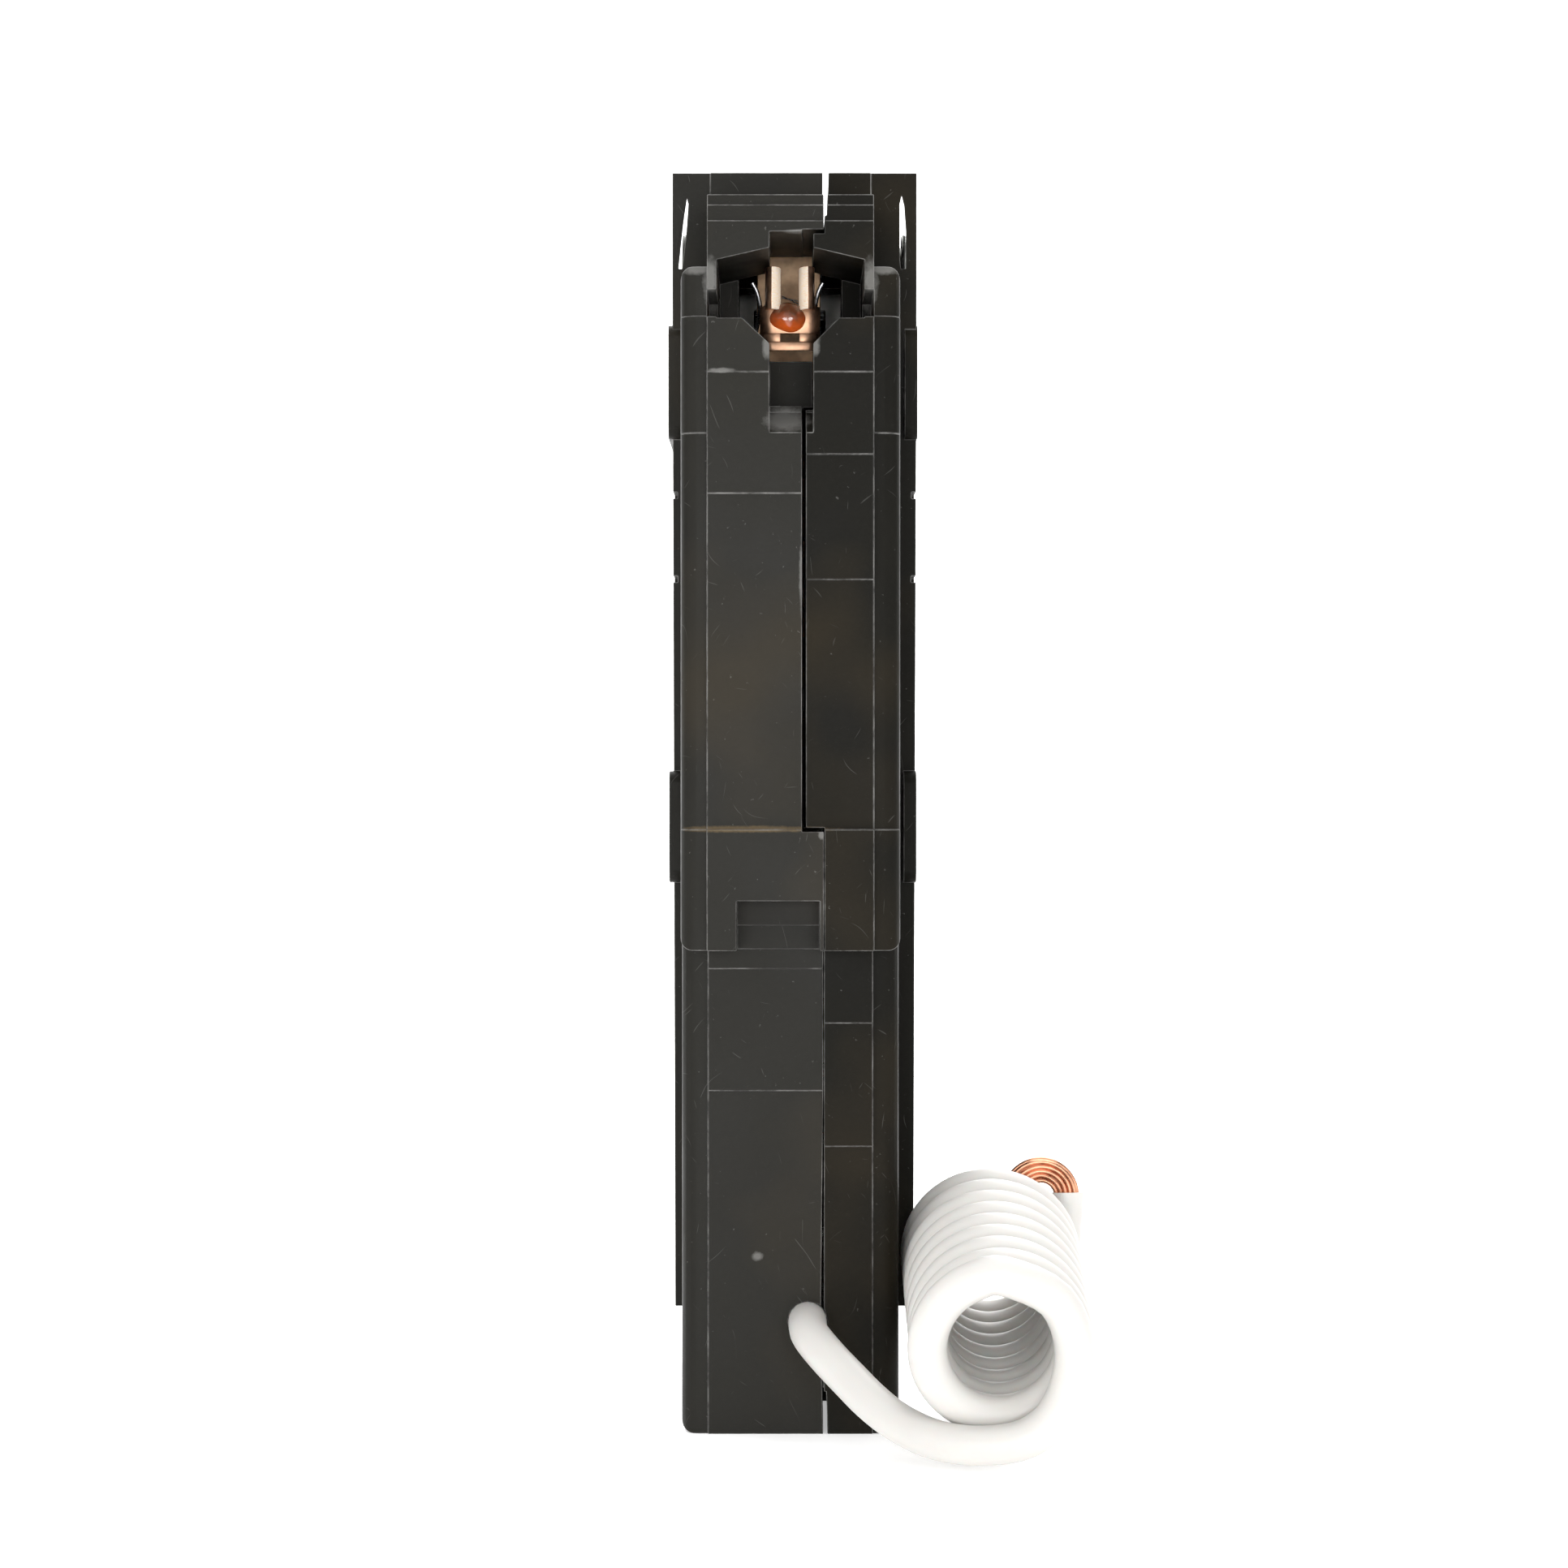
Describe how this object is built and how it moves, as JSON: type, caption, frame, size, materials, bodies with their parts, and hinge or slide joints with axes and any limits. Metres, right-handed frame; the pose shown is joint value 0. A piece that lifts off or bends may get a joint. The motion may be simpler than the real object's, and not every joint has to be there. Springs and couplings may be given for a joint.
{
  "type": "gfci circuit breaker",
  "caption": "Plug-on ground-fault circuit breaker in a slim black case with stab jaws, toggle handle, test button, box lugs and a coiled white neutral pigtail.",
  "frame": {"origin": "centre of the object's own box at its load end, which it stands on; the free pigtail isn't counted", "axes": "+Z from the load end up to the line end, +Y from the stab jaws at the rear forward to the handle, +X to the right seen from the rear"},
  "size_m": [0.032, 0.0883, 0.0956],
  "materials": {
    "case_moulding": "moulded black thermoset, lightly worn",
    "handle_moulding": "moulded, satin",
    "button_moulding": "moulded, satin",
    "flag_moulding": "moulded",
    "lens": "clear moulded window",
    "copper": "stamped bare copper",
    "brass": "stamped strip",
    "steel": "stamped and turned",
    "zinc": "zinc plated",
    "contact_silver": "sintered contact rivet",
    "board": "glass-epoxy laminate",
    "component_epoxy": "moulded epoxy",
    "component_coat": "dipped coating",
    "core": "sintered core",
    "winding": "enamelled copper wire",
    "fibre": "vulcanised fibre",
    "wire_insulation": "extruded white vinyl"
  },
  "bodies": {
    "case": {"base_shell": "case_moulding", "cover_shell": "case_moulding", "case_rivet_1": "zinc", "case_rivet_2": "zinc", "case_rivet_3": "zinc", "case_rivet_4": "zinc", "line_terminal": "copper", "line_jaw_left": "copper", "line_jaw_right": "copper", "jaw_spring_left": "steel", "jaw_spring_right": "steel", "fixed_contact": "contact_silver", "cradle_pin": "steel", "magnet_yoke": "steel", "bimetal": "brass", "calibration_screw": "zinc", "flexible_braid": "copper", "toggle_spring": "steel", "indicator_lens": "lens", "arc_chute_frame": "fibre", "arc_plate_1": "steel", "arc_plate_2": "steel", "arc_plate_3": "steel", "circuit_board": "board", "sensor_core": "winding", "neutral_core": "core", "controller_chip": "component_epoxy", "trip_thyristor": "component_epoxy", "filter_capacitor": "component_coat", "surge_varistor": "component_coat", "resistor_1": "fibre", "resistor_2": "fibre", "solenoid_coil": "winding", "solenoid_frame": "zinc", "plunger_spring": "steel", "load_conductor": "copper", "neutral_conductor": "wire_insulation", "test_button_spring": "steel", "test_contact_strip": "brass", "neutral_lug": "zinc", "load_lug": "zinc", "pigtail_lead": "wire_insulation", "pigtail_coil": "wire_insulation", "pigtail_tail": "wire_insulation", "pigtail_strands": "copper"},
    "handle": {"toggle_handle": "handle_moulding"},
    "arm": {"contact_arm": "copper", "moving_contact": "contact_silver"},
    "trip_lever": {"cradle": "steel"},
    "flag": {"trip_flag": "flag_moulding"},
    "latch": {"armature": "steel"},
    "plunger": {"solenoid_plunger": "steel"},
    "test": {"test_button": "button_moulding"},
    "neutral_clamp": {"neutral_pressure_plate": "zinc"},
    "neutral_turn": {"neutral_screw": "zinc"},
    "load_clamp": {"load_pressure_plate": "zinc"},
    "load_turn": {"load_screw": "zinc"}
  },
  "joints": [
    {"name": "handle_throw", "type": "hinge", "parent": "case", "child": "handle", "pos_m": [0, 0.013, 0.057], "axis": [1, 0, 0], "range_deg": [0, 50], "deforming": ["toggle_spring", "flexible_braid"]},
    {"name": "arm_swing", "type": "hinge", "parent": "case", "child": "arm", "pos_m": [0, 0.004, 0.057], "axis": [1, 0, 0], "range_deg": [0, 17]},
    {"name": "cradle_trip", "type": "hinge", "parent": "case", "child": "trip_lever", "pos_m": [0, -0.002, 0.0715], "axis": [1, 0, 0], "range_deg": [0, 20]},
    {"name": "flag_rise", "type": "slide", "parent": "case", "child": "flag", "axis": [0, 1, 0], "range_m": [0, 0.0045]},
    {"name": "plunger_stroke", "type": "slide", "parent": "case", "child": "plunger", "axis": [0, -1, 0], "range_m": [0, 0.0018], "stiffness_N_per_m": 60, "deforming": ["plunger_spring"]},
    {"name": "latch_tilt", "type": "hinge", "parent": "case", "child": "latch", "pos_m": [0, -0.0083, 0.061], "axis": [1, 0, 0], "range_deg": [-5, 0]},
    {"name": "test_press", "type": "slide", "parent": "case", "child": "test", "axis": [0, -1, 0], "range_m": [0, 0.0015], "stiffness_N_per_m": 400, "deforming": ["test_button_spring"]},
    {"name": "neutral_clamp_slide", "type": "slide", "parent": "case", "child": "neutral_clamp", "axis": [0, -1, 0], "range_m": [0, 0.0035]},
    {"name": "neutral_screw_turn", "type": "hinge", "parent": "neutral_clamp", "child": "neutral_turn", "pos_m": [0, -0.001, 0.008], "axis": [0, -1, 0], "range_deg": [0, 1801]},
    {"name": "load_clamp_slide", "type": "slide", "parent": "case", "child": "load_clamp", "axis": [0, -1, 0], "range_m": [0, 0.0035]},
    {"name": "load_screw_turn", "type": "hinge", "parent": "load_clamp", "child": "load_turn", "pos_m": [0, 0.015, 0.0245], "axis": [0, -1, 0], "range_deg": [0, 1801]}
  ],
  "couplings": [
    {"joint": "arm_swing", "follows": "handle_throw", "ratio": 0.3},
    {"joint": "flag_rise", "follows": "cradle_trip", "m_per_rad": 0.0128},
    {"joint": "latch_tilt", "follows": "plunger_stroke", "rad_per_m": -48},
    {"joint": "neutral_screw_turn", "follows": "neutral_clamp_slide", "rad_per_m": 8976},
    {"joint": "load_screw_turn", "follows": "load_clamp_slide", "rad_per_m": 8976}
  ]
}
